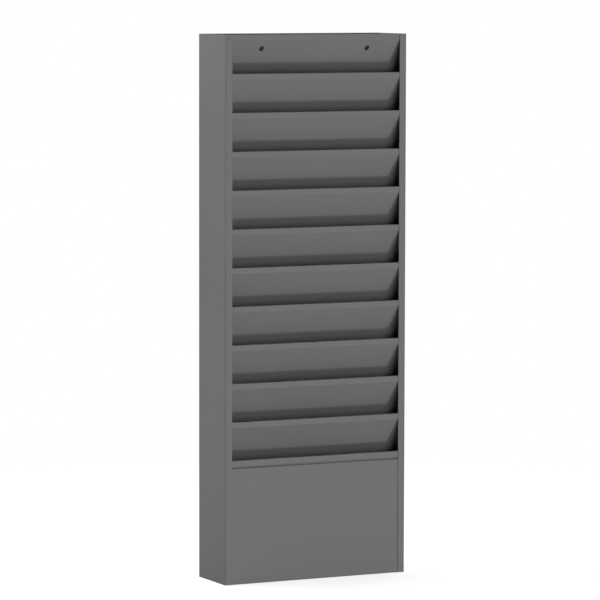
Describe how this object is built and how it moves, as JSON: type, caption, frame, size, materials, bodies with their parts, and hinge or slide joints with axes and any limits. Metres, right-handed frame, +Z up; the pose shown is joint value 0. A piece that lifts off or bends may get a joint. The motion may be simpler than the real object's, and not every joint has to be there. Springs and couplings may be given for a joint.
{
  "type": "literature rack",
  "caption": "Tall narrow wall rack of bent sheet steel with a column of forward-opening slanted pockets for letter-size folders and leaflets.",
  "frame": {"origin": "middle of the base, on the surface that the rack stands on", "axes": "+X across the rack, to the right when facing the pockets; +Y towards the wall; +Z up"},
  "size_m": [0.3364, 0.1048, 0.9144],
  "materials": {
    "gray_enamel": "satin baked enamel"
  },
  "bodies": {
    "root": {"left_side_panel": "gray_enamel", "right_side_panel": "gray_enamel", "back_panel": "gray_enamel", "bottom_panel": "gray_enamel", "lower_front_panel": "gray_enamel", "header_divider": "gray_enamel", "divider_01": "gray_enamel", "divider_02": "gray_enamel", "divider_03": "gray_enamel", "divider_04": "gray_enamel", "divider_05": "gray_enamel", "divider_06": "gray_enamel", "divider_07": "gray_enamel", "divider_08": "gray_enamel", "divider_09": "gray_enamel", "divider_10": "gray_enamel", "divider_11": "gray_enamel"}
  },
  "joints": []
}
